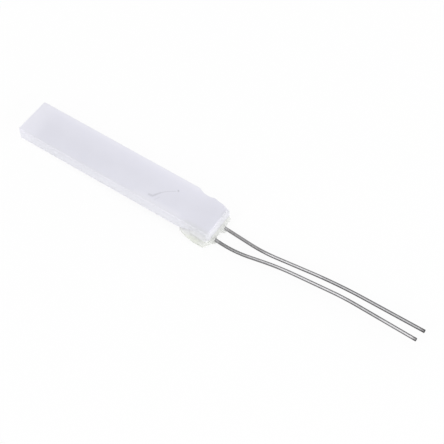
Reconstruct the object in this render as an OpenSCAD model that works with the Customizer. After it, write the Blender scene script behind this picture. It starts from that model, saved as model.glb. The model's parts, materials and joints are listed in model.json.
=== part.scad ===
// Thin-film platinum temperature sensor element
// A ceramic chip carries the platinum track on its film side. A fixing bead holds two lead wires there.
// Frame: origin in the middle of the chip's plain face, +X towards the lead end,
// +Y towards the broken back edge, +Z out of the plain face. The film side faces -Z.

/* [Ceramic chip] */
// Length of the chip
chip_length = 10; // [8:0.1:14]
// Width of the chip
chip_width = 1.82; // [1.6:0.01:2.4]
// Thickness of the chip
chip_thickness = 0.62; // [0.4:0.01:0.8]
// Radius of the chip's long and short edges
chip_edge_radius = 0.03; // [0.02:0.01:0.06]
// Radius of the chip's upright corners
chip_corner_radius = 0.07; // [0.03:0.01:0.12]

/* [Broken back edge] */
// Distance from the lead end to the middle of the hollow break
hollow_from_end = 1.1; // [0.9:0.01:1.6]
// Length of the hollow break along the edge
hollow_length = 1; // [0.6:0.01:1.2]
// Depth of the hollow break into the plain face
hollow_depth = 0.16; // [0.08:0.01:0.2]
// Length of the long break, from the lead end
long_break_length = 1.15; // [0.8:0.01:1.5]
// Depth of the long break at the lead end
long_break_depth = 0.19; // [0.1:0.01:0.24]
// Lean of both breaks, which run out towards the film side
break_lean = 5; // [0:1:12]

/* [Platinum track] */
// Thickness of the platinum film
track_thickness = 0.01; // [0.006:0.002:0.016]
// Width of one run of the track
run_width = 0.048; // [0.04:0.002:0.06]
// Gap between neighbouring runs
run_gap = 0.042; // [0.036:0.002:0.06]
// Gap between the two runs that carry the trimming rungs
trim_gap = 0.12; // [0.1:0.01:0.16]
// Distance between neighbouring trimming rungs
rung_pitch = 0.3; // [0.2:0.02:0.4]
// Width of one trimming rung
rung_width = 0.04; // [0.03:0.005:0.06]
// Width of the cut through a trimmed rung
trim_cut = 0.03; // [0.02:0.005:0.05]
// Number of trimming rungs
rung_count = 8; // [2:1:10]
// Number of rungs that are cut
rungs_cut = 3; // [0:1:8]
// Bare margin between the track and the edge of the cover glass
track_margin = 0.06; // [0.04:0.01:0.1]
// Length of the feed lines between the last turns and the pads
feed_length = 0.16; // [0.1:0.01:0.3]

/* [Cover glass] */
// Thickness of the cover glass
cover_thickness = 0.03; // [0.02:0.002:0.05]
// Distance from the cover glass to the chip's edges
cover_margin = 0.08; // [0.05:0.01:0.12]

/* [Contact pads] */
// Length of one pad
pad_length = 1.55; // [1.3:0.05:1.7]
// Width of one pad
pad_width = 0.6; // [0.5:0.01:0.64]
// Thickness of one pad
pad_thickness = 0.03; // [0.02:0.005:0.05]
// Distance from the pads to the lead end
pad_from_end = 0.3; // [0.2:0.01:0.4]

/* [Lead wires] */
// Diameter of the lead wires
lead_diameter = 0.15; // [0.12:0.01:0.22]
// Length of each lead along the wire, beyond the chip's end
lead_length = 9.5; // [8.5:0.25:15]
// Length of wire over the chip, from its bonded end to the chip's end
bond_reach = 1.3; // [1.1:0.05:1.35]
// Length by which the front wire was cut shorter
front_cut_back = 0.08; // [0:0.01:0.5]
// Depth of the flat that seats the wire on its pad
bond_flat = 0.02; // [0.01:0.005:0.03]
// Distance from the back pad's middle line to the wire, towards the other wire
back_bond_shift = 0.1; // [0:0.01:0.14]
// Distance from the front pad's middle line to the wire, towards the other wire
front_bond_shift = 0.05; // [0:0.01:0.12]
// Turn of the back wire on its pad, towards the front
back_bond_turn = 3.5; // [0:0.5:5]
// Turn of the front wire on its pad, towards the front
front_bond_turn = 3.2; // [0:0.2:5]
// Angle at which the wires leave the film side
step_angle = 13; // [6:1:14]
// Bend radius of the step away from the film side
step_radius = 0.6; // [0.4:0.05:0.8]
// Straight length of the step
step_length = 0.4; // [0.3:0.01:0.45]
// Thinning of the wire where it is bent
bend_thinning = 0.001; // [0.0005:0.0005:0.003]

/* [Bends of the back lead] */
// Straight length from the chip's end to the first bend
back_run_1 = 1.45; // [1.2:0.05:1.6]
// Radius of the first bend, towards the back
back_radius_1 = 7; // [6:0.5:8]
// Angle of the first bend
back_angle_1 = 10.5; // [8:0.5:12]
// Straight length from the first bend to the second
back_run_2 = 1.55; // [1.2:0.05:1.8]
// Radius of the second bend, towards the front
back_radius_2 = 22; // [18:1:24]
// Angle of the second bend
back_angle_2 = 6.3; // [5:0.1:7]

/* [Bends of the front lead] */
// Straight length from the chip's end to the first bend
front_run_1 = 0.45; // [0.4:0.05:0.6]
// Radius of the first bend, towards the back
front_radius_1 = 5; // [4:0.5:5.5]
// Angle of the first bend
front_angle_1 = 15; // [10:0.5:16]
// Straight length from the first bend to the second
front_run_2 = 0.6; // [0.4:0.05:0.7]
// Radius of the second bend, towards the front
front_radius_2 = 12; // [8:0.5:12.5]
// Angle of the second bend
front_angle_2 = 7; // [5:0.5:8]
// Straight length from the second bend to the third
front_run_3 = 1.6; // [1.3:0.05:1.7]
// Radius of the third bend, towards the front
front_radius_3 = 12; // [8:0.5:12.5]
// Angle of the third bend
front_angle_3 = 5.8; // [4:0.1:6.5]

/* [Fixing bead] */
// Length of the bead along the film side, back from the lead end
bead_length = 1.6; // [1.4:0.05:1.8]
// Greatest depth of the bead below the film side
bead_depth = 0.42; // [0.4:0.01:0.6]
// Radius of the bead's round lower edges
bead_round = 0.18; // [0.15:0.01:0.2]
// Distance from the lead end to the deepest part of the bead
deepest_from_end = 0.3; // [0.2:0.01:0.45]
// Distance from the lead end to the place where the bead starts to thin out
thinning_from_end = 0.94; // [0.7:0.01:1.1]
// Depth of the bead below the film side where it starts to thin out
thinning_depth = 0.35; // [0.3:0.01:0.38]
// Radius of the bead's thin edge
thin_round = 0.09; // [0.06:0.01:0.12]
// Reach of the bead beyond the chip's front side
bead_front_reach = 0.16; // [0.1:0.01:0.2]
// Distance from the bead to the chip's back side
bead_back_margin = 0.06; // [0.02:0.01:0.15]
// Height that the bead climbs up the chip's front side
bead_climb = 0.36; // [0.2:0.01:0.38]
// Distance from the lead end to the place where the bead climbs highest
climb_from_end = 0.53; // [0.4:0.01:0.7]
// Reach of the bead's lip beyond the lead end
lip_reach = 0.09; // [0.06:0.01:0.14]
// Depth of the bead's lip below the film side
lip_depth = 0.32; // [0.3:0.01:0.36]
// Radius of the bead's lip
lip_round = 0.15; // [0.12:0.01:0.18]
// Distance from the bead's lip to the chip's front side
lip_front_margin = 0.07; // [0.04:0.01:0.12]

/* [Hidden] */

// Smoothness of round parts
$fn = 48;
// Extra length of cutting shapes
over = 0.5;
// Length by which a bend runs into the straight wire at each of its ends
bend_lap = 0.01;

// Directions of a bend, as turns about the wire
TO_BACK = 0;
TO_PLAIN = 90;
TO_FRONT = 180;
TO_FILM = 270;

// Planes and edges that several pieces share
lead_end = chip_length / 2;
half_width = chip_width / 2;
film_z = -chip_thickness;
pad_z = film_z - pad_thickness;
pad_start = lead_end - pad_from_end - pad_length;

// The track fills the width of the cover glass with an even number of runs
run_pitch = run_width + run_gap;
track_room = chip_width - 2 * (cover_margin + track_margin);
run_count = 2 * floor((track_room - trim_gap + 2 * run_gap) / run_pitch / 2);
track_width = run_count * run_pitch - 2 * run_gap + trim_gap;
track_far = -lead_end + cover_margin + track_margin;
track_near = pad_start - feed_length;

// Wire on the pads
lead_radius = lead_diameter / 2;
bond_z = pad_z - lead_radius + bond_flat;
bond_x = lead_end - bond_reach;
pad_middle = track_width / 2 - pad_width / 2;

// The step away from the film side, the same on both wires, starts where it ends at the lead end
step_reach = step_length * cos(step_angle) + 2 * step_radius * sin(step_angle);
bond_straight = bond_reach - step_reach;
step = [
  [bond_straight, step_radius, step_angle, TO_FILM],
  [step_length, step_radius, step_angle, TO_PLAIN]
];

// Gentle bends beyond the bead, each a straight length, a bend radius, an angle and a direction
back_bends = concat(step, [
  [back_run_1, back_radius_1, back_angle_1, TO_BACK],
  [back_run_2, back_radius_2, back_angle_2, TO_FRONT]
]);
front_bends = concat(step, [
  [front_run_1, front_radius_1, front_angle_1, TO_BACK],
  [front_run_2, front_radius_2, front_angle_2, TO_FRONT],
  [front_run_3, front_radius_3, front_angle_3, TO_FRONT]
]);

// Length along the wire of the bends from one on, with the straight lengths before them
function wire_used(bends, i = 0) =
  i < len(bends) ? bends[i][0] + bends[i][1] * bends[i][2] * PI / 180 + wire_used(bends, i + 1) : 0;

// Length of a whole wire, from its bonded end to its tip
back_wire_length = bond_reach + lead_length;
front_wire_length = back_wire_length - front_cut_back;

// Distance across the track from its front edge to the middle of one run
function run_y(i) = i * run_pitch + (i > 0 ? trim_gap - run_gap : 0) + run_width / 2 - track_width / 2;

// Radius of a circle that cuts a hollow of the given length and depth
function hollow_radius(length, depth) = (length * length / 4 + depth * depth) / (2 * depth);

// Rectangle with round corners, centred
module round_rectangle(length, width, radius) {
  square([length - 2 * radius, width], center = true);
  square([length, width - 2 * radius], center = true);
  for (x = [-1, 1], y = [-1, 1])
    translate([x * (length / 2 - radius), y * (width / 2 - radius)]) circle(radius);
}

// The unbroken chip: its plan, its side view and its end view, each extruded through the others
module whole_chip() {
  intersection() {
    translate([0, 0, film_z])
      linear_extrude(chip_thickness) round_rectangle(chip_length, chip_width, chip_corner_radius);
    translate([0, half_width, film_z / 2]) rotate([90, 0, 0])
      linear_extrude(chip_width) round_rectangle(chip_length, chip_thickness, chip_edge_radius);
    translate([-lead_end, 0, film_z / 2]) rotate([90, 0, 90])
      linear_extrude(chip_length) round_rectangle(chip_width, chip_thickness, chip_edge_radius);
  }
}

// Round cutter for a break in the back edge, leaning so that it runs out towards the film side
module edge_break(x, length, depth) {
  radius = hollow_radius(length, depth);
  translate([x, half_width - depth, 0]) rotate([break_lean, 0, 0])
    translate([0, radius, -chip_thickness - over])
      cylinder(r = radius, h = chip_thickness + 2 * over, $fn = 96);
}

module ceramic_chip() {
  color("#e4e3f0")
    difference() {
      whole_chip();
      edge_break(lead_end - hollow_from_end, hollow_length, hollow_depth);
      edge_break(lead_end, 2 * long_break_length, long_break_depth);
    }
}

// Long runs side by side, joined in turn at the far end and at the near end, in one line from pad to pad
module track_plan() {
  last = run_count - 1;
  for (i = [0 : last]) {
    run_end = i == 0 || i == last ? pad_start : track_near;
    translate([track_far, run_y(i) - run_width / 2]) square([run_end - track_far, run_width]);
  }
  for (i = [0 : last - 1]) {
    link_x = i % 2 == 0 ? track_far : track_near - run_width;
    translate([link_x, run_y(i)]) square([run_width, run_y(i + 1) - run_y(i)]);
  }
  trimming_rungs();
}

// Rungs between the first two runs: each shortens the path until it is cut
module trimming_rungs() {
  for (k = [1 : rung_count])
    translate([track_far + k * rung_pitch, run_y(0)])
      difference() {
        square([rung_width, run_y(1) - run_y(0)]);
        if (k > rung_count - rungs_cut)
          translate([-over, (run_y(1) - run_y(0) - trim_cut) / 2]) square([2 * over, trim_cut]);
      }
}

module platinum_track() {
  color("#8f8d8a")
    translate([0, 0, film_z - track_thickness]) linear_extrude(track_thickness) track_plan();
}

// The glass fills the gaps of the track and closes over it
module cover_glass() {
  far = -lead_end + cover_margin;
  color("#b9c4c0")
    difference() {
      translate([far, -half_width + cover_margin, film_z - cover_thickness])
        cube([pad_start - far, chip_width - 2 * cover_margin, cover_thickness]);
      translate([0, 0, film_z - track_thickness])
        linear_extrude(track_thickness) track_plan();
    }
}

// One pad: side is 1 at the back and -1 at the front
module contact_pad(side) {
  translate([pad_start, side * pad_middle - pad_width / 2, pad_z])
    cube([pad_length, pad_width, pad_thickness]);
}

module contact_pad_back() {
  color("#c8c2b2") contact_pad(1);
}

module contact_pad_front() {
  color("#c8c2b2") contact_pad(-1);
}

// A bend of the wire: it starts along +X, turns towards +Y and runs a little into the straight lengths
module wire_bend(radius, angle) {
  lap = bend_lap / radius * 180 / PI;
  translate([0, radius, 0]) rotate([0, 0, -90 - lap])
    rotate_extrude(angle = angle + 2 * lap, $fn = 180)
      translate([radius, 0]) circle(lead_radius - bend_thinning, $fn = 32);
}

// Straight wire along +X
module wire_straight(length) {
  rotate([0, 90, 0]) cylinder(r = lead_radius, h = length, $fn = 32);
}

// The wire from bend i on: a straight length, the bend, and then the rest of the wire from its end
module bent_wire(bends, length, i = 0) {
  if (i == len(bends)) {
    wire_straight(length - wire_used(bends));
  } else {
    radius = bends[i][1];
    angle = bends[i][2];
    direction = bends[i][3];
    wire_straight(bends[i][0]);
    translate([bends[i][0], 0, 0]) rotate([direction, 0, 0]) {
      wire_bend(radius, angle);
      translate([radius * sin(angle), radius * (1 - cos(angle)), 0])
        rotate([0, 0, angle]) rotate([-direction, 0, 0]) bent_wire(bends, length, i + 1);
    }
  }
}

// One lead: its bonded end lies on the pad with a flat, and its heading there is turned to the front
module lead_wire(y, turn, bends, length) {
  difference() {
    translate([bond_x, y, bond_z]) rotate([0, 0, -turn]) bent_wire(bends, length);
    translate([bond_x - over, y - lead_diameter, pad_z])
      cube([bond_reach + over, 2 * lead_diameter, over]);
  }
}

module lead_wire_back() {
  color("#8d8d90")
    lead_wire(pad_middle - back_bond_shift, back_bond_turn, back_bends, back_wire_length);
}

module lead_wire_front() {
  color("#8d8d90")
    lead_wire(-pad_middle + front_bond_shift, front_bond_turn, front_bends, front_wire_length);
}

// A ball of the bead, placed by its distance from the lead end and its depth below the film side
module bead_ball(from_end, y, depth, radius) {
  translate([lead_end - from_end, y, film_z - depth]) sphere(radius, $fn = 32);
}

// Two balls of the bead, at its front and at its back, that reach down to the same depth
module ball_pair(from_end, front, back, depth, radius) {
  bead_ball(from_end, front + radius, depth - radius, radius);
  bead_ball(from_end, back - radius, depth - radius, radius);
}

// The fused drop: deep near the lead end, thin at its other end, and wrapped up the front side
module bead_drop() {
  front = -half_width - bead_front_reach;
  back = half_width - bead_back_margin;
  hull() {
    ball_pair(lip_round - lip_reach, -half_width + lip_front_margin, back, lip_depth, lip_round);
    ball_pair(deepest_from_end, front, back, bead_depth, bead_round);
    ball_pair(thinning_from_end, front, back, thinning_depth, bead_round);
    ball_pair(bead_length - thin_round, -half_width, back, thin_round, thin_round);
    bead_ball(climb_from_end, front + 2 * thin_round, thin_round - bead_climb, thin_round);
  }
}

module fixing_bead() {
  color("#dde3c9")
    difference() {
      bead_drop();
      ceramic_chip();
      contact_pad(1);
      contact_pad(-1);
      lead_wire_back();
      lead_wire_front();
    }
}

ceramic_chip();
platinum_track();
cover_glass();
contact_pad_back();
contact_pad_front();
fixing_bead();
lead_wire_back();
lead_wire_front();
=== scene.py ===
# %% [markdown]
# # A thin-film temperature sensor element
# The real object is a sliver of white ceramic, 10 mm long. Its hidden side carries a platinum track
# under a glaze, and a drop of fused glass holds two thin wires there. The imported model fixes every
# size, so this lesson only gives its pieces their finished shapes, surfaces and light.

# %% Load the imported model
import json
from math import atan2, cos, degrees, radians, sin, tau

import bmesh
import bpy
from mathutils import Matrix, Vector, noise

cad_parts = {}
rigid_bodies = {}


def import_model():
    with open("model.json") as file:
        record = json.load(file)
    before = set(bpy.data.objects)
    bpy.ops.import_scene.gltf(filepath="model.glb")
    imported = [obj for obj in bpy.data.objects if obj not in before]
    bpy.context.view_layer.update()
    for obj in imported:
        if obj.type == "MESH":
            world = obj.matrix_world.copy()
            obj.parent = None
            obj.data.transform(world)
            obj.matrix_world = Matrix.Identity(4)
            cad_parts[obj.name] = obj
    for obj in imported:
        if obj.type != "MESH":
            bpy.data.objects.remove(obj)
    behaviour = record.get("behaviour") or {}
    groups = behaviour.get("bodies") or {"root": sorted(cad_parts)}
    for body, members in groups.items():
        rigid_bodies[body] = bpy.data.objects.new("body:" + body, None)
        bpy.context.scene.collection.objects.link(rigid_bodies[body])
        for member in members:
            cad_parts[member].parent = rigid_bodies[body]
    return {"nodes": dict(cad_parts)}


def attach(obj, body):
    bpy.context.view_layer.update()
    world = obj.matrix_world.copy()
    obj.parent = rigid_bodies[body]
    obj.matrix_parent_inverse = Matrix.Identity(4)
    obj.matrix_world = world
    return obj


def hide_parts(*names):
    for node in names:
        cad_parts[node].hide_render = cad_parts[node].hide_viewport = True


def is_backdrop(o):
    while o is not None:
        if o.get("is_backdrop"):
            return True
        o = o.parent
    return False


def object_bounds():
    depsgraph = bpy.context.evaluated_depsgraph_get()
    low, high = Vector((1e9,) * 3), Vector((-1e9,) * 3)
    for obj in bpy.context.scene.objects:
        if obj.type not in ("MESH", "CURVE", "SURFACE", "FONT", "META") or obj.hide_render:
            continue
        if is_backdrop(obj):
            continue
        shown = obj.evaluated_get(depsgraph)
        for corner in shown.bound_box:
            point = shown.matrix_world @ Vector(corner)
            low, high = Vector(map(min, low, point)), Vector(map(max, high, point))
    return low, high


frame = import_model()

cad_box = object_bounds()
print("packed nodes:", ", ".join(sorted(frame["nodes"])))

# %% [markdown]
# ## Sizes
# The pieces are drawn in millimetres and brought down to metres when they are finished, because
# bevels and merges in Blender expect sizes near one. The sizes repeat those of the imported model.

# %% Name the sizes, in millimetres
MM = 0.001
CHIP_LENGTH = 10
CHIP_WIDTH = 1.82
CHIP_THICKNESS = 0.62
LEAD_END = CHIP_LENGTH / 2
HALF_WIDTH = CHIP_WIDTH / 2
FILM_Z = -CHIP_THICKNESS
MIDDLE_Z = FILM_Z / 2
print("chip", CHIP_LENGTH, "x", CHIP_WIDTH, "x", CHIP_THICKNESS, "mm")

# %% [markdown]
# ## Camera
# The photograph was taken with a long lens from high on the front side. The camera's place was
# worked out from the way the chip's straight edges run in it, so every piece falls on its place in
# the picture.

# %% Set up the camera
CAMERA_AIM = Vector((4.4726, 0.9720, -1.7751))
CAMERA_AZIMUTH = radians(34.071)
CAMERA_HEIGHT_ANGLE = radians(55.808)
CAMERA_DISTANCE = 51.498
FRAME_PIXELS = 444
LENS_PIXELS = 1192.64
SENSOR = 36

TO_CAMERA = Vector((
    sin(CAMERA_AZIMUTH) * cos(CAMERA_HEIGHT_ANGLE),
    -cos(CAMERA_AZIMUTH) * cos(CAMERA_HEIGHT_ANGLE),
    sin(CAMERA_HEIGHT_ANGLE),
))
bpy.ops.object.camera_add(
    location=(CAMERA_AIM + CAMERA_DISTANCE * TO_CAMERA) * MM,
    rotation=TO_CAMERA.to_track_quat("Z", "Y").to_euler(),
)
camera = bpy.context.object
camera.name = "camera"
camera.data.sensor_width = SENSOR
camera.data.lens = SENSOR * LENS_PIXELS / FRAME_PIXELS
camera.data.clip_start = 0.002
camera.data.clip_end = 10
bpy.context.scene.camera = camera
print("camera at", [round(c, 2) for c in camera.location / MM], "mm")
print("lens", round(camera.data.lens, 1), "mm")

# %% [markdown]
# ## Small helpers for modelling
# Operators act on whatever is selected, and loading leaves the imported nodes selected. Each piece
# therefore starts from an empty selection, and edges and faces are picked in code by their place.


# %% Helpers: start, name and pick
def begin():
    """Leaves the last piece and empties the selection."""
    if bpy.context.object and bpy.context.object.mode == "EDIT":
        bpy.ops.object.mode_set(mode="OBJECT")
    bpy.ops.object.select_all(action="DESELECT")


def named(name):
    """Names the piece that was just added."""
    piece = bpy.context.object
    piece.name = name
    piece.data.name = name
    return piece


def pick(piece, kind, test):
    """Selects the edges or the faces whose middle passes the test, and stays in edit mode."""
    bpy.context.tool_settings.mesh_select_mode = (False, kind == "EDGE", kind == "FACE")
    bpy.ops.object.mode_set(mode="EDIT")
    bpy.ops.mesh.select_all(action="DESELECT")
    shape = bmesh.from_edit_mesh(piece.data)
    for part in shape.edges if kind == "EDGE" else shape.faces:
        middle = sum((v.co for v in part.verts), Vector()) / len(part.verts)
        if test(middle):
            part.select_set(True)
    shape.select_flush_mode()
    bmesh.update_edit_mesh(piece.data)


# %% Helpers: apply a modifier, and finish a piece
def apply_modifier(piece, kind, **settings):
    """Adds a modifier to the piece, with its settings, and applies it."""
    bpy.context.view_layer.objects.active = piece
    modifier = piece.modifiers.new(kind.title(), kind)
    for key, value in settings.items():
        setattr(modifier, key, value)
    bpy.ops.object.modifier_apply(modifier=modifier.name)


def finish_piece(piece, stands_for, smooth_angle=35):
    """Brings a piece from millimetres to metres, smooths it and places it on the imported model."""
    begin()
    piece.select_set(True)
    bpy.context.view_layer.objects.active = piece
    piece.scale = (MM, MM, MM)
    piece.location *= MM
    bpy.ops.object.transform_apply(location=True, rotation=True, scale=True)
    bpy.ops.object.shade_smooth_by_angle(angle=radians(smooth_angle))
    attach(piece, "root")
    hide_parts(stands_for)
    print(piece.name, "has", len(piece.data.polygons), "faces")


# %% [markdown]
# ## The ceramic chip
# Alumina substrates are fired in sheets, scored and snapped apart, so the chip has crisp edges with
# a fine rounding. A box gets its upright corners bevelled first and all its other edges after that,
# because the corners are rounder than the edges.

# %% A block with the chip's roundings
CORNER_RADIUS = 0.07
EDGE_RADIUS = 0.03
SAME_PLACE = 1e-4


def on_rim(middle):
    """True for the edges round the chip's two large faces."""
    return abs(abs(middle.z - MIDDLE_Z) - CHIP_THICKNESS / 2) < SAME_PLACE


begin()
bpy.ops.mesh.primitive_cube_add(
    size=1, location=(0, 0, MIDDLE_Z), scale=(CHIP_LENGTH, CHIP_WIDTH, CHIP_THICKNESS)
)
chip = named("chip_body")
bpy.ops.object.transform_apply(location=True, rotation=True, scale=True)
pick(chip, "EDGE", lambda middle: abs(middle.z - MIDDLE_Z) < SAME_PLACE)
bpy.ops.mesh.bevel(offset=CORNER_RADIUS, segments=5, affect="EDGES")
pick(chip, "EDGE", on_rim)
bpy.ops.mesh.bevel(offset=EDGE_RADIUS, segments=4, affect="EDGES")
begin()
print("unbroken chip:", [round(d, 3) for d in chip.dimensions], "mm")

# %% [markdown]
# ## The broken back edge
# Two flakes have broken off beside the lead end: a short hollow one and a long shallow one. A
# fracture in fired ceramic is a dished face with fine ripples. Its line is the nearer of two arcs,
# leans outwards towards the film side and is roughened by seeded noise.

# %% The line that the breaks follow
HOLLOW = {"middle": 3.9, "length": 1.0, "depth": 0.16}
LONG_BREAK = {"middle": 5.0, "length": 2.3, "depth": 0.19}
BREAK_LEAN = radians(5)
CLEAR_OF_EDGE = 0.2
RIPPLE_DEPTH = 0.004
RIPPLE_RADIANS_PER_MM = 24
RIPPLE_SLANT = 0.25
RIPPLE_WANDER = 5
WANDERS_PER_MM = 1.7
GRAIN_DEPTH = 0.010
GRAINS_PER_MM = 9
CERAMIC_NOISE = (0.9, 2.1)


def break_line(x, break_shape):
    """Where a dished break reaches at x, measured across the chip."""
    length, depth = break_shape["length"], break_shape["depth"]
    radius = (length * length / 4 + depth * depth) / (2 * depth)
    # Past the arc's end the line stays level, far outside the chip
    reach = min(abs(x - break_shape["middle"]), radius * 0.999)
    return HALF_WIDTH - depth + radius - (radius * radius - reach * reach) ** 0.5


def broken_edge(x, z):
    """Where the back face stands after both breaks, with the fracture's own roughness."""
    place = Vector((x, z, 0))
    dish = min(break_line(x, HOLLOW), break_line(x, LONG_BREAK))
    wander = RIPPLE_WANDER * noise.noise(place * WANDERS_PER_MM)
    ripple = RIPPLE_DEPTH * sin(RIPPLE_RADIANS_PER_MM * (z + RIPPLE_SLANT * x) + wander)
    grain = GRAIN_DEPTH * noise.fractal(place * GRAINS_PER_MM, *CERAMIC_NOISE, 4)
    return min(dish, HALF_WIDTH + CLEAR_OF_EDGE) - z * BREAK_LEAN + ripple + grain


print("hollow break reaches y =", round(break_line(HOLLOW["middle"], HOLLOW), 3), "mm")

# %% [markdown]
# The cutter starts as a grid that stands along the edge. Its points move onto the broken line, and
# then the sheet is extruded into a block, so that a Boolean can take it off the chip.

# %% Shape what breaks the edge off
TO_BACK = Vector((0, 1, 0))
BREAKS_MIDDLE = 4.2
BREAKS_LENGTH = 2.1
BREAKS_HEIGHT = 0.9
BREAKS_DEPTH = 0.8


def extrude(push):
    """Extrudes what is selected."""
    bpy.ops.mesh.extrude_region_move(TRANSFORM_OT_translate={"value": push})


def thicken(sheet, push):
    """Extrudes a sheet into a closed block whose faces point outwards."""
    pick(sheet, "FACE", lambda middle: True)
    extrude(push)
    bpy.ops.mesh.select_all(action="SELECT")
    bpy.ops.mesh.normals_make_consistent(inside=False)
    begin()


begin()
bpy.ops.mesh.primitive_grid_add(
    x_subdivisions=150,
    y_subdivisions=60,
    size=1,
    rotation=(radians(90), 0, 0),
    location=(BREAKS_MIDDLE, HALF_WIDTH, MIDDLE_Z),
)
cutter = named("break_cutter")
cutter.scale = (BREAKS_LENGTH, BREAKS_HEIGHT, 1)
bpy.ops.object.transform_apply(location=True, rotation=True, scale=True)
for corner in cutter.data.vertices:
    corner.co.y = broken_edge(corner.co.x, corner.co.z)
thicken(cutter, TO_BACK * BREAKS_DEPTH)
print("cutter has", len(cutter.data.polygons), "faces")

# %% [markdown]
# The corner beside the breaks has lost a crumb from its top. A second, slanting cutter takes it
# off.

# %% Shape what takes the crumb off the corner
CRUMB_MIDDLE = Vector((4.87, 0.69, -0.08))
CRUMB_FACING = Vector((0.49, 0.58, 0.65)).normalized()
CRUMB_ROUGHNESS = 0.008
CRUMB_LUMPS_PER_MM = 5
CRUMB_CUTTER_SIZE = 1.3
CRUMB_CUTTER_DEPTH = 0.6

begin()
bpy.ops.mesh.primitive_grid_add(
    x_subdivisions=50,
    y_subdivisions=50,
    size=CRUMB_CUTTER_SIZE,
    location=CRUMB_MIDDLE,
    rotation=CRUMB_FACING.to_track_quat("Z", "Y").to_euler(),
)
crumb_cutter = named("crumb_cutter")
bpy.ops.object.transform_apply(location=True, rotation=True, scale=True)
for corner in crumb_cutter.data.vertices:
    lump = noise.fractal(corner.co * CRUMB_LUMPS_PER_MM, *CERAMIC_NOISE, 2)
    corner.co += CRUMB_FACING * CRUMB_ROUGHNESS * lump
thicken(crumb_cutter, CRUMB_FACING * CRUMB_CUTTER_DEPTH)
print("crumb cutter has", len(crumb_cutter.data.polygons), "faces")

# %% [markdown]
# ## Materials: the toolkit
# A short function places a node, sets its plain values and links its inputs, so a material reads
# like a recipe. The others stand for the nodes that come up most.


# %% Helpers: nodes
def fill_inputs(tree, made, inputs):
    """Gives a node its inputs: plain values, or other nodes' outputs to link."""
    for key, value in inputs.items():
        if isinstance(value, bpy.types.NodeSocket):
            tree.links.new(value, made.inputs[key])
        else:
            made.inputs[key].default_value = value


def node(tree, kind, inputs=None, **settings):
    """Places a node with its settings and inputs."""
    made = tree.nodes.new("ShaderNode" + kind)
    for key, value in settings.items():
        setattr(made, key, value)
    fill_inputs(tree, made, inputs or {})
    return made


def math(tree, operation, *values, clamp=False):
    """One Math node, and its result."""
    inputs = dict(enumerate(values))
    return node(tree, "Math", inputs, operation=operation, use_clamp=clamp).outputs[0]


def vector_math(tree, operation, inputs, output="Vector"):
    """One Vector Math node, and its result."""
    return node(tree, "VectorMath", inputs, operation=operation).outputs[output]


def blend(tree, share, low, high):
    """A colour between two others."""
    return node(tree, "Mix", {0: share, 6: low, 7: high}, data_type="RGBA").outputs[2]


def spread(tree, value, low, high, new_low=0.0, new_high=1.0, smooth=False):
    """Stretches the range low to high over new_low to new_high."""
    kind = "SMOOTHSTEP" if smooth else "LINEAR"
    inputs = {0: value, 1: low, 2: high, 3: new_low, 4: new_high}
    return node(tree, "MapRange", inputs, interpolation_type=kind).outputs[0]


def lumps(tree, place, per_mm, detail):
    """Soft noise, with so many lumps per millimetre."""
    return node(tree, "TexNoise", {"Vector": place, "Scale": per_mm, "Detail": detail}).outputs[0]


def axis(tree, place, number):
    """One of the three numbers of a place: 0 for x, 1 for y, 2 for z."""
    return node(tree, "SeparateXYZ", {0: place}).outputs[number]


# %% Helpers: materials
def new_material(name, **plain):
    """A material with its own shader, and the place on the object in millimetres."""
    material = bpy.data.materials.new(name)
    material.use_nodes = True
    tree = material.node_tree
    shader = tree.nodes["Principled BSDF"]
    for socket, value in plain.items():
        shader.inputs[socket.replace("_", " ")].default_value = value
    shader.inputs["Subsurface Radius"].default_value = (1.0, 1.0, 1.0)
    place = node(tree, "TexCoord").outputs["Object"]
    in_mm = vector_math(tree, "SCALE", {0: place, "Scale": 1 / MM})
    return material, tree, shader, in_mm


def surface_relief(tree, shader, height, depth_mm, strength):
    """Feeds a height pattern to the shader's normal."""
    inputs = {"Strength": strength, "Distance": depth_mm * MM, "Height": height}
    tree.links.new(node(tree, "Bump", inputs).outputs[0], shader.inputs["Normal"])


# %% [markdown]
# ## Shared effects
# Effects that several materials share are node groups with named sockets. *Fired grain* is the
# fine, slightly uneven skin that every fired surface here has. *Near edge* finds how close a point
# lies to the edges of a box, for the paler thin edges of ceramic, which are painted light.
# *Hairline* draws one straight line through the solid between two points: thin as a scratch, or
# wide and soft for changes of tone and for painted light and shade.


# %% Helpers: node groups
def new_group(name, inputs, outputs):
    """An empty node group with its sockets. Returns the tree, its inputs and its output node."""
    tree = bpy.data.node_groups.new(name, "ShaderNodeTree")
    for socket, kind, default in inputs:
        kind = "NodeSocket" + kind
        made = tree.interface.new_socket(name=socket, in_out="INPUT", socket_type=kind)
        made.default_value = default
    for socket in outputs:
        tree.interface.new_socket(name=socket, in_out="OUTPUT", socket_type="NodeSocketFloat")
    print("group:", name)
    return tree, tree.nodes.new("NodeGroupInput").outputs, tree.nodes.new("NodeGroupOutput")


def use_group(tree, group, inputs):
    """Places a node group in a material and returns its outputs."""
    made = tree.nodes.new("ShaderNodeGroup")
    made.node_tree = group
    fill_inputs(tree, made, inputs)
    return made.outputs


# %% Build the group for fired grain
PATCH_HEIGHT = 0.6
GRAIN_HEIGHT = 0.4

grain_group, given, result = new_group(
    "fired grain",
    inputs=[
        ("Place", "Vector", (0, 0, 0)),
        ("Grains per mm", "Float", 30.0),
        ("Patches per mm", "Float", 1.2),
    ],
    outputs=["Patches", "Grain", "Height"],
)
fine = lumps(grain_group, given["Place"], given["Grains per mm"], 3.0)
patches = lumps(grain_group, given["Place"], given["Patches per mm"], 2.0)
patch_height = math(grain_group, "MULTIPLY", patches, PATCH_HEIGHT)
height = math(grain_group, "MULTIPLY_ADD", fine, GRAIN_HEIGHT, patch_height)
grain_group.links.new(patches, result.inputs["Patches"])
grain_group.links.new(fine, result.inputs["Grain"])
grain_group.links.new(height, result.inputs["Height"])


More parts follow.
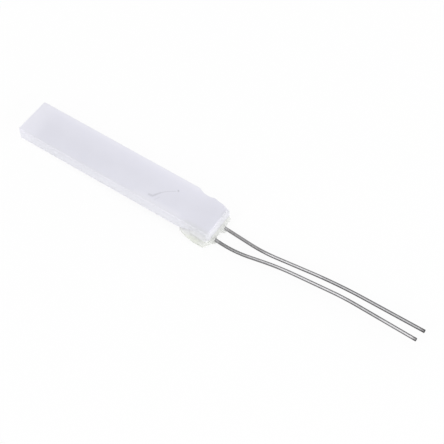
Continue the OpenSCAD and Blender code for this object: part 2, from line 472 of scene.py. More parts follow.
def fired_grain(tree, place, grains, patches):
    """The fired grain at a place, with so many grains and patches per millimetre."""
    inputs = {"Place": place, "Grains per mm": grains, "Patches per mm": patches}
    return use_group(tree, grain_group, inputs)


# %% Build the group for nearness to a box's edges
edge_group, given, result = new_group(
    "near edge",
    inputs=[
        ("Place", "Vector", (0, 0, 0)),
        ("Middle", "Vector", (0, 0, 0)),
        ("Half Size", "Vector", (1, 1, 1)),
        ("Reach", "Float", 0.1),
    ],
    outputs=["Nearness"],
)
offset = vector_math(edge_group, "SUBTRACT", {0: given["Place"], 1: given["Middle"]})
size = vector_math(edge_group, "ABSOLUTE", {0: offset})
depth = vector_math(edge_group, "SUBTRACT", {0: given["Half Size"], 1: size})
# At an edge two of the three depths are small, so the middle one of them says how near it is
x, y, z = node(edge_group, "SeparateXYZ", {0: depth}).outputs
low_xy = math(edge_group, "MINIMUM", x, y)
high_xy = math(edge_group, "MAXIMUM", x, y)
second = math(edge_group, "MAXIMUM", low_xy, math(edge_group, "MINIMUM", high_xy, z))
nearness = spread(edge_group, second, 0.0, given["Reach"], 1.0, 0.0, smooth=True)
edge_group.links.new(nearness, result.inputs["Nearness"])

# %% Build the group for a hairline mark
hairline_group, given, result = new_group(
    "hairline",
    inputs=[
        ("Place", "Vector", (0, 0, 0)),
        ("Start", "Vector", (0, 0, 0)),
        ("End", "Vector", (1, 0, 0)),
        ("Width", "Float", 0.03),
    ],
    outputs=["Mark"],
)
from_start = vector_math(hairline_group, "SUBTRACT", {0: given["Place"], 1: given["Start"]})
whole = vector_math(hairline_group, "SUBTRACT", {0: given["End"], 1: given["Start"]})
along = vector_math(hairline_group, "DOT_PRODUCT", {0: from_start, 1: whole}, "Value")
square = vector_math(hairline_group, "DOT_PRODUCT", {0: whole, 1: whole}, "Value")
share = math(hairline_group, "DIVIDE", along, square, clamp=True)
nearest = vector_math(hairline_group, "SCALE", {0: whole, "Scale": share})
apart = vector_math(hairline_group, "DISTANCE", {0: from_start, 1: nearest}, "Value")
mark = spread(hairline_group, apart, 0.0, given["Width"], 1.0, 0.0, smooth=True)
hairline_group.links.new(mark, result.inputs["Mark"])


# %% Helpers: lines and tints
def line_mark(tree, place, start, end, width, strength):
    """How strongly one soft line shows at a place."""
    inputs = {"Place": place, "Start": start, "End": end, "Width": width}
    mark = use_group(tree, hairline_group, inputs)["Mark"]
    return math(tree, "MULTIPLY", mark, strength)


def tint_along(tree, place, colour, tints):
    """Blends a colour towards the tints, each given by start, end, width, strength and colour."""
    for *line, tint in tints:
        colour = blend(tree, line_mark(tree, place, *line), colour, tint)
    return colour


# %% [markdown]
# ## Alumina
# Fired alumina is almost white. Here it has a faint lavender cast and a matt skin with soft
# patches, and light creeps a little way into it, which a touch of subsurface scattering gives. The
# rims at the back and at the far end are slightly paler, which is painted light. The other rims
# aren't, so the box for *near edge* reaches past the chip on those two sides.

# %% Mix the alumina
PAST_CHIP = 1.0

alumina, tree, shader, place = new_material(
    "alumina", Roughness=0.7, IOR=1.5, Subsurface_Weight=0.15, Subsurface_Scale=0.25 * MM
)
grain = fired_grain(tree, place, 34.0, 0.8)
edges = use_group(tree, edge_group, {
    "Place": place,
    "Middle": (PAST_CHIP / 2, -PAST_CHIP / 2, MIDDLE_Z),
    "Half Size": (LEAD_END + PAST_CHIP / 2, HALF_WIDTH + PAST_CHIP / 2, CHIP_THICKNESS / 2),
    "Reach": 1.1,
})
clouds = spread(tree, grain["Patches"], 0.3, 0.7)
base = blend(tree, clouds, (0.736, 0.736, 0.810, 1), (0.754, 0.754, 0.826, 1))
# Painted light: the back and far-end rims are painted paler
painted_rim_light = math(tree, "MULTIPLY", edges["Nearness"], 0.8)
base = blend(tree, painted_rim_light, base, (0.806, 0.803, 0.884, 1))
print("alumina has", len(tree.nodes), "nodes")

# %% [markdown]
# The chip's tone also changes slowly from place to place, with a greyer zone over the bead.
# The paler back edge and far end are painted light, like the pale rims, and the duller front side
# is painted shade. Each of these is one wide, soft line in the solid, so the tone runs on round
# the edges.

# %% Tint the alumina
PALE = (0.790, 0.788, 0.850, 1)
GREY = (0.670, 0.676, 0.710, 1)
TONES_AND_PAINTED_LIGHT = [
    # The top: a strip by the front edge, the back edge in painted light, over the bead
    ((1.3, -0.80, 0.05), (3.4, -0.80, 0.05), 0.28, 0.8, PALE),
    ((-4.6, 0.95, 0), (3.3, 0.95, 0), 0.42, 0.7, (0.838, 0.835, 0.903, 1)),
    ((4.6, -0.3, 0), (4.6, 0.3, 0), 1.40, 0.5, (0.700, 0.700, 0.770, 1)),
    # The front side: over the bead, at the far end, and its lower and upper parts in painted shade
    ((4.00, -0.96, -0.12), (4.85, -0.96, -0.12), 0.37, 0.95, (0.650, 0.656, 0.682, 1)),
    ((-5.0, -0.95, -0.35), (-4.3, -0.95, -0.35), 0.40, 0.6, (0.720, 0.722, 0.775, 1)),
    ((-5.1, -1.00, -0.42), (3.8, -1.00, -0.42), 0.50, 0.8, (0.744, 0.745, 0.784, 1)),
    ((-5.1, -0.95, -0.10), (4.0, -0.95, -0.10), 0.22, 0.8, (0.715, 0.715, 0.755, 1)),
    # The top's far end, in painted light
    ((-4.9, -0.7, 0), (-4.9, 0.7, 0), 1.20, 0.8, (0.820, 0.817, 0.885, 1)),
    # The lead end: the whole face, its front corner, a pale patch, under the crumb
    ((5.08, -0.80, -0.38), (5.08, 0.60, -0.38), 0.45, 0.8, (0.730, 0.731, 0.762, 1)),
    ((5, -0.91, 0.02), (5, -0.91, -0.6), 0.20, 0.9, GREY),
    ((5.03, -0.60, -0.25), (5.03, -0.10, -0.25), 0.28, 0.3, (0.850, 0.850, 0.890, 1)),
    ((5.03, 0.25, -0.10), (5.03, 0.80, -0.14), 0.24, 0.9, GREY),
]
base = tint_along(tree, place, base, TONES_AND_PAINTED_LIGHT)
surface_relief(tree, shader, grain["Height"], depth_mm=0.004, strength=0.35)
print("tints on the alumina:", len(TONES_AND_PAINTED_LIGHT))

# %% [markdown]
# A grey scuff lies across the plain face. Something dark has rubbed off on the matt skin, so it
# catches on the grain and looks broken up.

# %% Draw the scuff on the plain face
SCUFF = [
    # A short hook
    ((1.814, -0.576, 0), (1.984, -0.560, 0), 0.085, 0.34),
    ((1.984, -0.560, 0), (2.075, -0.399, 0), 0.080, 0.36),
    ((2.075, -0.399, 0), (2.169, -0.242, 0), 0.065, 0.32),
    # The thin line that it runs out into, and the dot at its end
    ((2.169, -0.242, 0), (2.313, -0.082, 0), 0.038, 0.26),
    ((2.313, -0.082, 0), (2.478, 0.049, 0), 0.032, 0.26),
    ((2.478, 0.049, 0), (2.667, 0.183, 0), 0.030, 0.26),
    ((2.728, 0.270, 0), (2.755, 0.242, 0), 0.062, 0.42),
    # A fainter stroke beside it
    ((2.165, -0.667, 0), (2.267, -0.450, 0), 0.050, 0.12),
]
scuff = 0.0
for line in SCUFF:
    scuff = math(tree, "MAXIMUM", scuff, line_mark(tree, place, *line))
broken_up = spread(tree, grain["Grain"], 0.35, 0.6, 0.55, 1.0)
scuff = math(tree, "MULTIPLY", scuff, broken_up)
base = blend(tree, scuff, base, (0.25, 0.25, 0.28, 1))
tree.links.new(base, shader.inputs["Base Color"])
print("scuff strokes:", len(SCUFF))

# %% [markdown]
# ## Fractured alumina
# Where the edge has broken off, the grains lie bare. This surface is a little whiter, rougher and
# duller than the fired skin. It is a second material on the chip: the cutters carry it, and the
# Boolean passes it on to the faces that they cut.

# %% Mix the fractured alumina and cut the chip
fracture, tree, shader, place = new_material(
    "alumina_fracture", Roughness=0.8, IOR=1.6, Subsurface_Weight=0.25, Subsurface_Scale=0.25 * MM
)
grain = fired_grain(tree, place, 45.0, 5.0)
base = blend(tree, grain["Patches"], (0.71, 0.71, 0.77, 1), (0.77, 0.77, 0.83, 1))
tree.links.new(base, shader.inputs["Base Color"])
surface_relief(tree, shader, grain["Height"], depth_mm=0.010, strength=0.35)

chip.data.materials.append(alumina)
for block in (cutter, crumb_cutter):
    block.data.materials.append(fracture)
    apply_modifier(
        chip,
        "BOOLEAN",
        operation="DIFFERENCE",
        solver="EXACT",
        material_mode="TRANSFER",
        object=block,
    )
    bpy.data.objects.remove(block)
finish_piece(chip, "ceramic_chip", smooth_angle=30)

# %% [markdown]
# ## The lead wires
# Each lead is one drawn wire: straight on its pad, stepped down through the bead, then gently bent.
# A disc at the bonded end is extruded along the straight lengths and spun round the bends, as the
# wire itself was bent. The list gives, for each bend, the straight length before it, its radius,
# its angle in degrees and the side that it turns to.

# %% Describe the wires
UP = Vector((0, 0, 1))
DOWN = -UP
TO_FRONT = -TO_BACK
WIRE_RADIUS = 0.075
WIRE_SIDES = 24
RIM_RADIUS = 0.012
TIP_RING = 0.03
BOND_START = 3.7
BOND_Z = -0.705
STEP_DOWN = [(0.6403, 0.6, 13.0, DOWN), (0.4, 0.6, 13.0, UP)]
WIRES = {
    "lead_back": {
        "node": "lead_wire_back",
        "start": Vector((BOND_START, 0.338, BOND_Z)),
        "turn": 3.5,
        "length": 10.80,
        "bends": STEP_DOWN + [
            (1.45, 7.0, 10.5, TO_BACK),
            (1.55, 22.0, 6.3, TO_FRONT),
        ],
    },
    "lead_front": {
        "node": "lead_wire_front",
        "start": Vector((BOND_START, -0.388, BOND_Z)),
        "turn": 3.2,
        "length": 10.72,
        "bends": STEP_DOWN + [
            (0.45, 5.0, 15.0, TO_BACK),
            (0.6, 12.0, 7.0, TO_FRONT),
            (1.6, 12.0, 5.8, TO_FRONT),
        ],
    },
}
print("wires:", ", ".join(WIRES))


# %% Draw a wire by extruding and spinning
STEPS_PER_DEGREE = 2
LEAST_STEPS = 8


def draw_wire(name, wire):
    """Makes one wire and returns it with the points of its middle line."""
    heading = Vector((cos(radians(wire["turn"])), -sin(radians(wire["turn"])), 0))
    here = wire["start"].copy()
    line = [here.copy()]
    used = 0
    begin()
    bpy.ops.mesh.primitive_circle_add(
        vertices=WIRE_SIDES,
        radius=WIRE_RADIUS,
        fill_type="NGON",
        location=here,
        rotation=heading.to_track_quat("Z", "Y").to_euler(),
    )
    piece = named(name)
    bpy.ops.object.transform_apply(location=True, rotation=True, scale=True)
    bpy.ops.object.mode_set(mode="EDIT")
    bpy.ops.mesh.select_all(action="SELECT")
    for straight, radius, angle, towards in wire["bends"]:
        extrude(heading * straight)
        here = here + heading * straight
        side = (towards - heading * heading.dot(towards)).normalized()
        hinge = heading.cross(side)
        centre = here + side * radius
        steps = max(LEAST_STEPS, round(STEPS_PER_DEGREE * angle))
        # The operator turns against the right-hand rule, so its angle is negative
        bpy.ops.mesh.spin(steps=steps, angle=-radians(angle), center=centre, axis=hinge)
        for i in range(steps + 1):
            turned = Matrix.Rotation(radians(angle) * i / steps, 3, hinge)
            line.append(centre + turned @ (here - centre))
        here = line[-1].copy()
        heading = Matrix.Rotation(radians(angle), 3, hinge) @ heading
        used += straight + radius * radians(angle)
    rest = wire["length"] - used
    # A ring close to the tip keeps the rounding of its rim from shading the straight wire
    for part in (rest - TIP_RING, TIP_RING):
        extrude(heading * part)
    line.append(here + heading * rest)
    print(name, "ends at", [round(c, 3) for c in line[-1]], "mm")
    return piece, line


# %% [markdown]
# A cut wire end has a slightly turned rim, so the last edge gets a small bevel. The wire's surface
# pattern runs along it, so each wire also gets a UV map: u goes round the wire and v along it, both
# in millimetres.


# %% Unroll a wire into a UV map
SAME_GAP = 1e-9


def nearest_on(line, point):
    """The nearest place on a line: its length along it, the way to the point, and the heading."""
    best = None
    length = 0.0
    for a, b in zip(line, line[1:]):
        step = b - a
        share = min(1, max(0, (point - a).dot(step) / step.length_squared))
        apart = point - a - step * share
        if best is None or apart.length < best[1].length - SAME_GAP:
            best = (length + share * step.length, apart, step.normalized())
        length += step.length
    return best


def unrolled(point, line):
    """The turn round a wire, from -0.5 to 0.5, and the length along it, at a point of its skin."""
    length, apart, heading = nearest_on(line, point)
    across = heading.cross(UP).normalized()
    over = across.cross(heading)
    return atan2(apart.dot(over), apart.dot(across)) / tau, length


def unroll(piece, line):
    """Writes the turn and the length of every corner into a UV map, with no face torn in two."""
    places = [unrolled(v.co, line) for v in piece.data.vertices]
    corners = piece.data.loops
    uv = piece.data.uv_layers.new(name="WireUV")
    for face in piece.data.polygons:
        turns = [places[corners[i].vertex_index][0] for i in face.loop_indices]
        wraps = max(turns) - min(turns) > 0.5
        for i, turn in zip(face.loop_indices, turns):
            turn = turn + 1 if wraps and turn < 0 else turn
            uv.data[i].uv = (turn * tau * WIRE_RADIUS, places[corners[i].vertex_index][1])


# %% Draw both wires
wires = {}
for name, wire in WIRES.items():
    piece, line = draw_wire(name, wire)
    tip, last_step = line[-1], (line[-1] - line[-2]).normalized()
    pick(piece, "EDGE", lambda middle: abs((middle - tip).dot(last_step)) < SAME_PLACE)
    bpy.ops.mesh.bevel(offset=RIM_RADIUS, segments=2, affect="EDGES")
    begin()
    unroll(piece, line)
    wires[name] = (piece, line)

# %% [markdown]
# ## The fixing bead
# The bead is a drop of glass-ceramic that was melted over the bonded wires. A convex hull round a
# few balls gives its volume, deep near the lead end and thin at its other end. A second, flat hull
# is the film of glass that crept up the chip's front side, and two small ones are the feet of glass
# that cling under the wires. A voxel remesh turns them all into one even skin that can be smoothed
# and pushed about like clay.

# %% Pull a skin over balls
DROP_BALLS = [
    # The lip beyond the chip's end
    (4.93, -0.66, -0.83, 0.16), (4.94, 0.67, -0.79, 0.15),
    # The deep part, and the slope to its thin end
    (4.76, -0.88, -0.86, 0.18), (4.70, 0.64, -0.86, 0.18),
    (4.06, -0.89, -0.76, 0.17), (4.06, 0.65, -0.76, 0.17),
    (4.38, -0.885, -0.845, 0.18), (3.71, -0.88, -0.68, 0.12), (3.52, 0.74, -0.65, 0.10),
    # The rim on the chip's end
    (4.93, -0.62, -0.63, 0.055), (4.93, 0.60, -0.63, 0.055), (4.86, -0.86, -0.69, 0.100),
]
FILM_BALLS = [
    (3.73, -0.868, -0.61, 0.060), (4.10, -0.860, -0.45, 0.055), (4.35, -0.860, -0.28, 0.055),
    (4.40, -0.870, -0.50, 0.075), (4.85, -0.860, -0.26, 0.055), (4.86, -0.870, -0.50, 0.075),
    (4.905, -0.845, -0.36, 0.072), (4.920, -0.850, -0.62, 0.085),
]
BACK_FOOT_BALLS = [(4.95, 0.14, -0.88, 0.13), (5.14, 0.13, -0.885, 0.090)]
FRONT_FOOT_BALLS = [(4.95, -0.55, -0.88, 0.13), (5.11, -0.57, -0.885, 0.080)]
SKIN_CELL = 0.02


def hull_round(name, balls):
    """A convex hull round balls, each given by its middle and its radius."""
    begin()
    for *middle, radius in balls:
        bpy.ops.mesh.primitive_uv_sphere_add(
            segments=32, ring_count=16, radius=radius, location=middle
        )
        bpy.context.object.name = "ball"
    begin()
    for ball in [o for o in bpy.context.scene.objects if o.name.startswith("ball")]:
        ball.select_set(True)
        bpy.context.view_layer.objects.active = ball
    bpy.ops.object.join()
    hull = named(name)
    bpy.ops.object.transform_apply(location=True, rotation=True, scale=True)
    bpy.ops.object.mode_set(mode="EDIT")
    bpy.ops.mesh.select_all(action="SELECT")
    bpy.ops.mesh.convex_hull()
    begin()
    return hull


bead = hull_round("bead", DROP_BALLS)
film = hull_round("film", FILM_BALLS)
feet = [hull_round("back_foot", BACK_FOOT_BALLS), hull_round("front_foot", FRONT_FOOT_BALLS)]
for part in (film, *feet, bead):
    part.select_set(True)
    bpy.context.view_layer.objects.active = part
bpy.ops.object.join()
apply_modifier(bead, "REMESH", mode="VOXEL", voxel_size=SKIN_CELL)
apply_modifier(bead, "SMOOTH", factor=0.5, iterations=8)
print("bead skin:", [round(d, 3) for d in bead.dimensions], "mm,", len(bead.data.polygons), "faces")

# %% [markdown]
# Where the glass touches the chip or a wire it creeps outwards in a thin rim, as every liquid that
# wets a surface does. Two short functions say how far a point of the skin lies from the chip and
# from a wire, so that only the points close by are pushed.

# %% Measure how far the skin is from the chip and the wires
EDGE_CORE = 0.1
CORE_LOW = Vector((-LEAD_END + EDGE_CORE, -HALF_WIDTH + EDGE_CORE, FILM_Z + EDGE_CORE))
CORE_HIGH = Vector((LEAD_END - EDGE_CORE, HALF_WIDTH - EDGE_CORE, -EDGE_CORE))


def outside_chip(point):
    """How far a point lies outside the chip, and the way from it, turning smoothly at edges."""
    nearest = Vector(min(max(c, a), b) for c, a, b in zip(point, CORE_LOW, CORE_HIGH))
    away = point - nearest
    return away.length - EDGE_CORE, away.normalized()


def near_wire(point, line):
    """How far a point lies from a wire's skin, and the wire's heading there."""
    _, apart, heading = nearest_on(line, point)
    return apart.length - WIRE_RADIUS, heading


print("a point on the chip's top lies", round(outside_chip(Vector((0, 0, 0)))[0], 3), "mm out")

# %% [markdown]
# The push is strongest at the contact and dies away with the distance. Slow noise makes the skin
# uneven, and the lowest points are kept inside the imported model's box.

# %% Push the skin: unevenness, and feet along the chip and the wires
SKIN_UNEVENNESS = 0.010
SKIN_WAVES_PER_MM = 1.8
FOOT_REACH = 0.12
FOOT_SPREAD = 0.05
FOOT_INSIDE = 0.08
FOOT_ONSET = 0.05
WIRE_FOOT_REACH = 0.09
WIRE_FOOT_SPREAD = 0.05
LIP_START = 4.95
SKIN_LOW = Vector((-LEAD_END, -1.067, -1.037))


def fading(gap, reach):
    """1 at the contact, and 0 from the reach on."""
    return (1 - max(gap, 0) / reach) ** 2


moves = []
for corner in bead.data.vertices:
    point, normal = corner.co.copy(), corner.normal.copy()
    move = normal * SKIN_UNEVENNESS * noise.fractal(point * SKIN_WAVES_PER_MM, 1.0, 2.0, 2)
    gap, away = outside_chip(point)
    if -FOOT_INSIDE < gap < FOOT_REACH:
        share = fading(gap, FOOT_REACH) * min(1, (gap + FOOT_INSIDE) / FOOT_ONSET)
        move += (normal - away * normal.dot(away)) * FOOT_SPREAD * share
    if point.x > LIP_START:
        for _, line in wires.values():
            gap, heading = near_wire(point, line)
            if gap < WIRE_FOOT_REACH:
                facing = max(0, normal.x)
                move += heading * WIRE_FOOT_SPREAD * fading(gap, WIRE_FOOT_REACH) * facing
    moves.append(move)
for corner, move in zip(bead.data.vertices, moves):
    corner.co = [max(c, low) for c, low in zip(corner.co + move, SKIN_LOW)]
apply_modifier(bead, "SMOOTH", factor=0.5, iterations=2)
print("longest push:", round(max(m.length for m in moves), 3), "mm")

# %% Finish the bead and the wires
finish_piece(bead, "fixing_bead", smooth_angle=50)
for name, (piece, line) in wires.items():
    finish_piece(piece, WIRES[name]["node"], smooth_angle=40)

# %% [markdown]
# ## Glass-ceramic of the bead
# The fused drop is cloudy and pale yellow-green. It is half translucent, so subsurface scattering
# carries most of its look, under a soft gloss with a few fine pits from gas bubbles. The film on
# the chip's side is so thin that the white ceramic shows through, so the colour changes with
# height. The lip is paler, which is painted light in the shade under the chip's end. Soft tints
# darken it round the roots of the wires, partly their metal showing through and partly painted
# shade, and paint shade in the fold under the film and on the lip by the front corner. Two others
# paint light on the film's thin end and on the front corner.

# %% Mix the bead's glass
WIRE_SHADE = (0.30, 0.30, 0.30, 1)
GLASS_TINTS_AND_PAINTED_LIGHT = [
    # Round the roots of the wires: their metal showing through, and painted shade
    ((4.8, -0.49, -0.83), (5.2, -0.49, -0.83), 0.25, 0.65, WIRE_SHADE),
    ((4.8, 0.261, -0.81), (5.2, 0.261, -0.81), 0.22, 0.35, WIRE_SHADE),
    # Painted light on the thin end and front corner; painted shade on the lip and the fold
    ((3.70, -0.95, -0.62), (4.05, -0.97, -0.60), 0.17, 0.8, (0.76, 0.765, 0.76, 1)),
    ((4.75, -1.00, -0.74), (4.90, -0.95, -0.74), 0.20, 0.7, (0.735, 0.74, 0.74, 1)),
    ((4.93, -0.88, -0.84), (5.04, -0.56, -0.82), 0.24, 0.7, (0.63, 0.64, 0.61, 1)),
    ((4.12, -0.96, -0.51), (4.64, -0.96, -0.60), 0.13, 0.6, (0.60, 0.61, 0.60, 1)),
]
bead_glass, tree, shader, place = new_material(
    "bead_glass",
    IOR=1.5,
    Subsurface_Weight=0.6,
    Subsurface_Scale=0.3 * MM,
    Coat_Weight=0.25,
    Coat_Roughness=0.2,
)
grain = fired_grain(tree, place, 14.0, 2.2)
cloud = spread(tree, grain["Patches"], 0.35, 0.65)
glass = blend(tree, cloud, (0.62, 0.635, 0.580, 1), (0.68, 0.695, 0.645, 1))
over_ceramic = spread(tree, axis(tree, place, 2), -0.66, -0.50, smooth=True)
glass = blend(tree, over_ceramic, glass, (0.722, 0.724, 0.748, 1))
# Painted light: the lip, in the shade under the chip's end, is painted paler
lip_painted_light = spread(tree, axis(tree, place, 0), 4.90, 5.03, smooth=True)
glass = blend(tree, lip_painted_light, glass, (0.745, 0.757, 0.735, 1))
glass = tint_along(tree, place, glass, GLASS_TINTS_AND_PAINTED_LIGHT)
tree.links.new(glass, shader.inputs["Base Color"])
gloss = spread(tree, grain["Grain"], 0.3, 0.7, 0.28, 0.42)
tree.links.new(gloss, shader.inputs["Roughness"])
print("bead glass has", len(tree.nodes), "nodes")

# %% Pit the glass and lay it on the bead
BUBBLES_PER_MM = 9.0

bubbles = node(tree, "TexVoronoi", {"Vector": place, "Scale": BUBBLES_PER_MM})
pits = spread(tree, bubbles.outputs["Distance"], 0.05, 0.16, smooth=True)
skin = math(tree, "MULTIPLY_ADD", grain["Height"], 0.5, math(tree, "MULTIPLY", pits, 0.5))
surface_relief(tree, shader, skin, depth_mm=0.010, strength=0.25)
bead.data.materials.clear()
bead.data.materials.append(bead_glass)
print("bead glass and its pits have", len(tree.nodes), "nodes")

# %% [markdown]
# ## Drawn lead metal
# Drawing leaves fine lengthwise lines on a wire, so the noise is stretched along v of the UV map.
# The heat of the firing has dulled each wire close to the bead, up to a wavy limit. Other stretches
# have tarnished, and one by the front root is darkened as painted shade. The roots are paler,
# partly where the glass wets them and partly as a painted highlight, and the tips are dark: these
# are tints along short lines that follow the wires.

# %% Mix the lead metal
WIRE_Z = -0.826
TIP_DARK = (0.035, 0.035, 0.035, 1)
STAINS_AND_PAINTED_LIGHT = [
    # Tarnish on both wires' far parts, painted shade on the front wire by its root
    ((9.9, 0.49, WIRE_Z), (14.4, 0.60, WIRE_Z), 0.32, 0.42, (0.060, 0.060, 0.062, 1)),
    ((11.2, 0.12, WIRE_Z), (12.6, 0.10, WIRE_Z), 0.32, 0.40, (0.080, 0.080, 0.082, 1)),
    ((5.8, -0.49, WIRE_Z), (6.5, -0.43, WIRE_Z), 0.32, 0.45, (0.140, 0.140, 0.142, 1)),
    # Pale roots, partly a painted highlight, and the pale stretch beside the back one
    ((5.12, 0.25, WIRE_Z), (5.24, 0.24, WIRE_Z), 0.17, 0.90, (0.550, 0.550, 0.550, 1)),
    ((5.12, -0.47, WIRE_Z), (5.24, -0.47, WIRE_Z), 0.17, 0.80, (0.400, 0.400, 0.400, 1)),
    ((5.3, 0.24, WIRE_Z), (6.6, 0.16, WIRE_Z), 0.32, 0.60, (0.270, 0.266, 0.270, 1)),
    # Dark tips
    ((14.41, 0.594, WIRE_Z), (14.50, 0.595, WIRE_Z), 0.20, 0.85, TIP_DARK),
    ((14.31, 0.073, WIRE_Z), (14.40, 0.072, WIRE_Z), 0.20, 0.85, TIP_DARK),
]
lead_metal, tree, shader, place = new_material("lead_metal", Metallic=1.0)
wire_map = node(tree, "UVMap", uv_map="WireUV").outputs[0]
stretched = node(tree, "Mapping", {"Vector": wire_map, "Scale": (60.0, 1.2, 1.0)}).outputs[0]
drawn = lumps(tree, stretched, 1.0, 4.0)
wavy = math(tree, "MULTIPLY_ADD", lumps(tree, place, 3.0, 3.0), 0.5, axis(tree, place, 0))
heat = spread(tree, wavy, 6.3, 7.8, 1.0, 0.0, smooth=True)
streaks = spread(tree, drawn, 0.3, 0.7)
metal = blend(tree, streaks, (0.150, 0.150, 0.154, 1), (0.225, 0.221, 0.225, 1))
metal = blend(tree, heat, metal, (0.185, 0.182, 0.185, 1))
metal = tint_along(tree, place, metal, STAINS_AND_PAINTED_LIGHT)
tree.links.new(metal, shader.inputs["Base Color"])
rough = spread(tree, drawn, 0.3, 0.7, 0.13, 0.22)
tree.links.new(math(tree, "MULTIPLY_ADD", heat, 0.14, rough), shader.inputs["Roughness"])
surface_relief(tree, shader, drawn, depth_mm=0.0015, strength=0.5)
print("lead metal has", len(tree.nodes), "nodes")

# %% [markdown]
# The cut ends show bare metal with a fine, sharp grain. Four plain surfaces of this part share one
# recipe: the colour follows the soft patches, and the gloss and the relief follow the grain.


# %% A recipe for plain grainy surfaces
def grainy_material(name, grains, patches, colours, roughness, depth_mm, strength, **plain):
    """A material whose colour and roughness run between two values each."""
    material, tree, shader, place = new_material(name, **plain)
    grain = fired_grain(tree, place, grains, patches)
    colour = blend(tree, grain["Patches"], *colours)
    gloss = spread(tree, grain["Grain"], 0.3, 0.7, *roughness)
    tree.links.new(colour, shader.inputs["Base Color"])
    tree.links.new(gloss, shader.inputs["Roughness"])
    surface_relief(tree, shader, grain["Height"], depth_mm, strength)
    print(name, "has", len(tree.nodes), "nodes")
    return material


# %% Mix the bare metal of the cut ends and lay the metals on the wires
cut_metal = grainy_material(
    "lead_cut",
    grains=70.0,
    patches=20.0,
    colours=((0.03, 0.03, 0.03, 1), (0.08, 0.078, 0.075, 1)),
    roughness=(0.4, 0.6),
    depth_mm=0.003,
    strength=0.8,
    Metallic=1.0,
)
for piece, line in wires.values():
    piece.data.materials.clear()
    piece.data.materials.append(lead_metal)
    piece.data.materials.append(cut_metal)
    tip, heading = line[-1] * MM, (line[-1] - line[-2]).normalized()
    for face in piece.data.polygons:
        if (face.center - tip).dot(heading) > -RIM_RADIUS / 2 * MM:
            face.material_index = 1
    cut_faces = sum(face.material_index for face in piece.data.polygons)
    print(piece.name, "has", cut_faces, "faces of cut metal")

# %% [markdown]
# ## The film side
# Under the chip lie the platinum track, a glaze that covers it and two printed pads. The track is
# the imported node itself, in a thin-film metal. The glaze and the pads are thin layers with soft
# edges: boxes whose corners and outer rims are bevelled. They are sunk a little into the chip, so
# that no gap shows.

# %% Make thin layers with soft edges
SUNK = 0.004
LAYER_Z = -0.65
GLAZE_START = -4.92
GLAZE_HALF_WIDTH = 0.83
PAD_START = 3.15
PAD_END = 4.70
PAD_INNER = 0.138
PAD_OUTER = 0.738


def thin_layer(name, near, far, corner, rim):
    """A flat layer between two corners in x and y. Its corners are round and its rim slopes off."""
    begin()
    low, high = Vector((*near, LAYER_Z)), Vector((*far, FILM_Z + SUNK))
    middle = (low + high) / 2
    bpy.ops.mesh.primitive_cube_add(size=1, location=middle, scale=high - low)
    layer = named(name)
    bpy.ops.object.transform_apply(location=True, rotation=True, scale=True)
    pick(layer, "EDGE", lambda place: abs(place.z - middle.z) < SAME_PLACE)
    bpy.ops.mesh.bevel(offset=corner, segments=6, affect="EDGES")
    pick(layer, "EDGE", lambda place: abs(place.z - low.z) < SAME_PLACE)
    bpy.ops.mesh.bevel(offset=rim, segments=4, affect="EDGES")
    begin()
    return layer


glaze = thin_layer(
    "glaze",
    (GLAZE_START, -GLAZE_HALF_WIDTH),
    (PAD_START, GLAZE_HALF_WIDTH),
    corner=0.08,
    rim=0.022,
)
pads = [
    thin_layer("pad_back", (PAD_START, PAD_INNER), (PAD_END, PAD_OUTER), corner=0.06, rim=0.02),
    thin_layer("pad_front", (PAD_START, -PAD_OUTER), (PAD_END, -PAD_INNER), corner=0.06, rim=0.02),
]
finish_piece(glaze, "cover_glass")
finish_piece(pads[0], "contact_pad_back")
finish_piece(pads[1], "contact_pad_front")

# %% [markdown]
# The track is sputtered platinum, grey and finely matt. The glaze is clear glass with a breath of
# green and a slightly wavy surface. The pads are fired metal paste: grainy and warm grey.

# %% Mix the platinum film
platinum = grainy_material(
    "platinum_film",
    grains=60.0,
    patches=2.0,
    colours=((0.42, 0.41, 0.40, 1), (0.58, 0.57, 0.55, 1)),
    roughness=(0.3, 0.5),
    depth_mm=0.0015,
    strength=0.4,
    Metallic=1.0,
)
track = frame["nodes"]["platinum_track"]
track.data.materials.clear()
track.data.materials.append(platinum)

# %% Mix the glaze
cover = grainy_material(
    "cover_glass",
    grains=8.0,
    patches=1.0,
    colours=((0.90, 0.95, 0.93, 1), (0.95, 0.98, 0.96, 1)),
    roughness=(0.03, 0.09),
    depth_mm=0.006,
    strength=0.35,
    Transmission_Weight=1.0,
    IOR=1.5,
)
glaze.data.materials.append(cover)

# %% Mix the pad paste
paste = grainy_material(
    "pad_paste",
    grains=40.0,
    patches=4.0,
    colours=((0.62, 0.59, 0.52, 1), (0.76, 0.73, 0.66, 1)),
    roughness=(0.38, 0.6),
    depth_mm=0.006,
    strength=0.7,
    Metallic=1.0,
)
for pad in pads:
    pad.data.materials.append(paste)

# %% [markdown]
# ## Floor
# The element lies on its film side, on the far edge of the glaze and on the bead, so the floor
# tilts by the little that the bead is deep.

# %% Lay the floor
FAR_REST = Vector((GLAZE_START, 0, -0.651))
BEAD_REST = Vector((4.70, 0, -1.040))
FLOOR_SIZE = 600
FLOOR_GAP = 0.004

floor_tilt = atan2(FAR_REST.z - BEAD_REST.z, BEAD_REST.x - FAR_REST.x)
begin()
bpy.ops.mesh.primitive_plane_add(
    size=FLOOR_SIZE * MM,
    location=FAR_REST.lerp(BEAD_REST, 0.5) * MM - UP * (FLOOR_GAP * MM),
    rotation=(0, floor_tilt, 0),
)
floor = named("floor")
bpy.ops.object.transform_apply(location=True, rotation=True, scale=True)
floor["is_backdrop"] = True
print("floor tilts by", round(degrees(floor_tilt), 2), "degrees")

# %% [markdown]
# The camera sees the floor nearly white, also in a mirror and through glass, and the floor keeps
# the object's soft shadow. Light Path tells those rays from the ones that only carry light. From
# below the floor lets the view through.

# %% Paint the floor
WHITE_SHARE = 0.92


